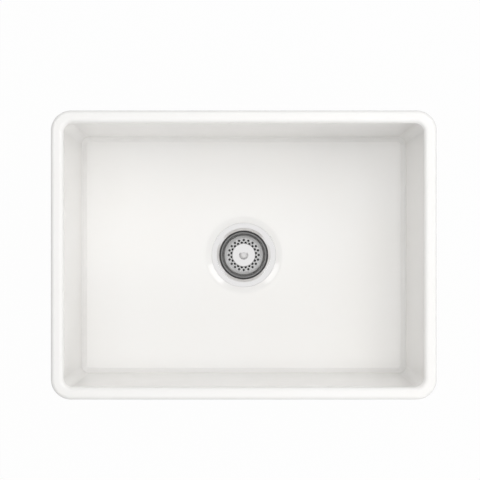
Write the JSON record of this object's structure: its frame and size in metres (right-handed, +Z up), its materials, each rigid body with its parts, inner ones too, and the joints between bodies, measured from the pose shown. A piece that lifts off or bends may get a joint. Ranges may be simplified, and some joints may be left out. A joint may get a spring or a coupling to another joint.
{
  "type": "kitchen sink",
  "caption": "Single-bowl fireclay kitchen sink with rounded rim, floor sloping to a centre drain, and a lift-out basket strainer with pull-up stopper, locknut and tailpiece.",
  "frame": {"origin": "middle of the base plane, on the axis of the drain", "axes": "+X along the sink's length, -Y towards the user at the front, +Z up"},
  "size_m": [0.61, 0.457, 0.4064],
  "materials": {
    "white_glaze": "glossy warm white glaze",
    "polished_steel": "polished stainless steel",
    "cup_steel": "pressed stainless sheet",
    "plated_metal": "bright plated",
    "cast_zinc": "bare die-cast grey",
    "black_rubber": "matt black",
    "fibre": "pressed brown fibre",
    "white_sealant": "soft off-white sealing ring",
    "white_nylon": "natural nylon"
  },
  "bodies": {
    "sink": {"sink_bowl": "white_glaze", "flange_seal": "white_sealant", "strainer_body": "polished_steel", "rubber_gasket": "black_rubber", "friction_ring": "fibre", "locknut": "cast_zinc", "tailpiece_washer": "white_nylon", "tailpiece": "plated_metal", "coupling_nut": "plated_metal"},
    "basket": {"basket_cup": "cup_steel", "guide_bush": "white_nylon", "bush_ring": "cup_steel", "post_o_ring": "black_rubber"},
    "plunger": {"lift_cap": "polished_steel", "finger_pull": "polished_steel", "plunger_post": "plated_metal", "stopper_plate": "cup_steel", "stopper_seal": "black_rubber", "seal_washer": "cup_steel", "seal_nut": "plated_metal"}
  },
  "joints": [
    {"name": "basket_lift", "type": "slide", "parent": "sink", "child": "basket", "axis": [0, 0, 1], "range_m": [0, 0.3]},
    {"name": "plunger_pull", "type": "slide", "parent": "basket", "child": "plunger", "axis": [0, 0, 1], "range_m": [0, 0.009]}
  ]
}
